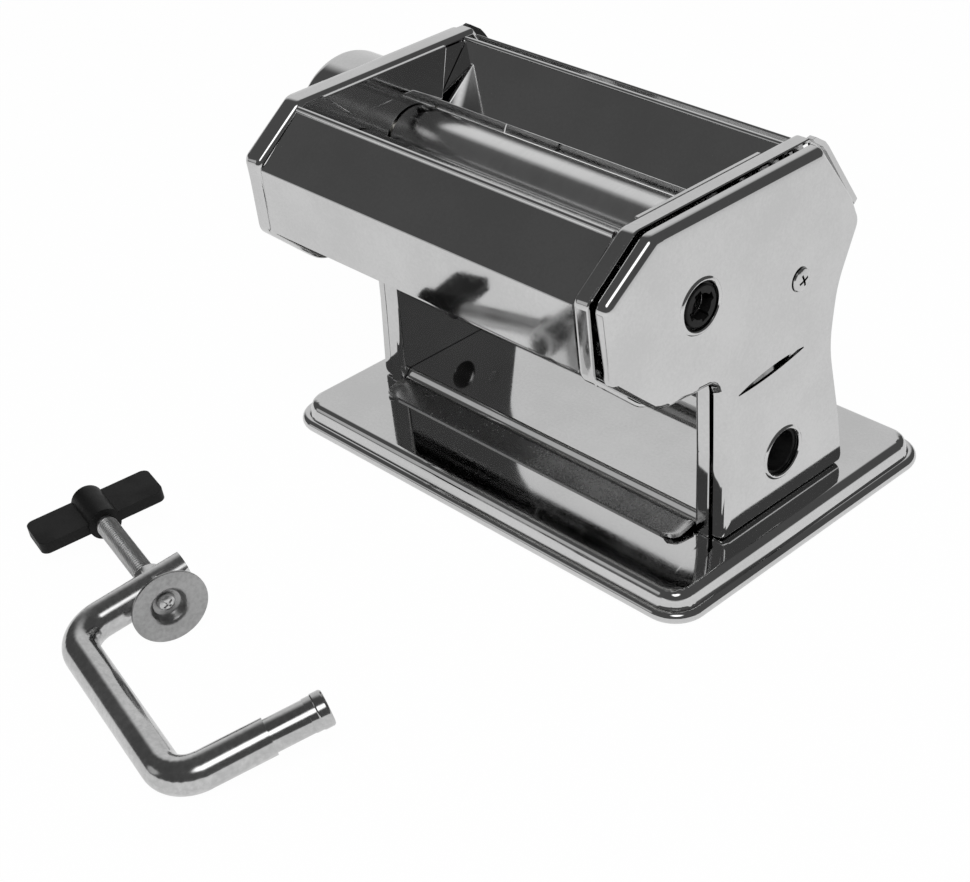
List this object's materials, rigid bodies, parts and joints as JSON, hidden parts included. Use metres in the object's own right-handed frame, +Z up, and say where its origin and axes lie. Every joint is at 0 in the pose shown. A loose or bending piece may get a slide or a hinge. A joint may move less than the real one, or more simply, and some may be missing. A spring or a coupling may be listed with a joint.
{
  "type": "pasta roller machine",
  "caption": "Hand-cranked pasta roller machine on a pressed base, with two smooth rollers, a thickness knob and a loose table clamp.",
  "frame": {"origin": "on the table under the middle of the base, at the underside of the middle foot", "axes": "+X along the rollers toward the crank socket, +Y toward the back of the machine, +Z up"},
  "size_m": [0.2194, 0.3105, 0.1447],
  "materials": {
    "chrome": "mirror-bright plated steel sheet",
    "zinc": "zinc-plated steel",
    "satin": "ground satin steel",
    "black_plastic": "black moulded plastic",
    "nylon": "natural nylon",
    "rubber": "black rubber"
  },
  "bodies": {
    "machine": {"base_plate": "chrome", "rubber_feet": "rubber", "base_screws": "zinc", "left_side_frame": "chrome", "right_side_frame": "chrome", "left_side_cover": "chrome", "right_side_cover": "chrome", "clamp_sleeves": "black_plastic", "cover_posts": "zinc", "cover_screws": "chrome", "tie_rods": "zinc", "tie_rod_nuts": "zinc", "front_cover": "chrome", "hopper_guard": "chrome", "rear_cover": "chrome", "center_panel": "chrome", "left_dough_guide": "chrome", "right_dough_guide": "chrome", "left_cutter_rail": "black_plastic", "right_cutter_rail": "chrome", "front_scraper": "nylon", "drive_bushes": "nylon", "knob_bush": "nylon", "index_ring": "black_plastic"},
    "drive": {"drive_roller": "satin", "drive_gear": "satin", "crank_socket": "black_plastic"},
    "carrier": {"bearing_blocks": "nylon", "carrier_bar": "zinc", "carrier_screws": "zinc", "rear_scraper": "nylon"},
    "driven": {"driven_roller": "satin", "driven_gear": "satin"},
    "spindle": {"knob_shaft": "zinc", "knob_cam": "zinc", "shaft_nut": "zinc"},
    "knob": {"knob": "chrome", "index_pin": "chrome", "knob_spring": "zinc"},
    "clamp": {"clamp_rod": "chrome"},
    "clamp_foot": {"clamp_disc": "zinc", "disc_rivet": "zinc"},
    "screw": {"clamp_screw": "zinc", "clamp_handle": "black_plastic"}
  },
  "joints": [
    {"name": "drive_spin", "type": "hinge", "parent": "machine", "child": "drive", "pos_m": [0, -0.0443, 0.1112], "axis": [1, 0, 0], "continuous": true},
    {"name": "roller_gap", "type": "slide", "parent": "machine", "child": "carrier", "axis": [0, 1, 0], "range_m": [0, 0.002]},
    {"name": "driven_spin", "type": "hinge", "parent": "carrier", "child": "driven", "pos_m": [0, -0.016, 0.1112], "axis": [1, 0, 0], "continuous": true},
    {"name": "knob_turn", "type": "hinge", "parent": "machine", "child": "spindle", "pos_m": [-0.09, -0.016, 0.1112], "axis": [-1, 0, 0], "range_deg": [0, 270]},
    {"name": "knob_pull", "type": "slide", "parent": "spindle", "child": "knob", "axis": [-1, 0, 0], "range_m": [0, 0.004], "stiffness_N_per_m": 900, "springref_m": -0.004, "deforming": ["knob_spring"]},
    {"name": "clamp_lift", "type": "slide", "parent": "machine", "child": "clamp", "axis": [0, 0, 1], "range_m": [0, 0.05]},
    {"name": "screw_travel", "type": "slide", "parent": "clamp", "child": "clamp_foot", "axis": [0.9728, -0.2317, 0], "range_m": [0, 0.035]},
    {"name": "screw_turn", "type": "hinge", "parent": "clamp_foot", "child": "screw", "pos_m": [-0.03915, -0.18282, 0.0139], "axis": [0.9728, -0.2317, 0], "range_deg": [0, 10080]}
  ],
  "couplings": [
    {"joint": "driven_spin", "follows": "drive_spin", "ratio": -1},
    {"joint": "knob_turn", "follows": "roller_gap", "rad_per_m": 2356.2},
    {"joint": "screw_turn", "follows": "screw_travel", "rad_per_m": 5026.5}
  ]
}
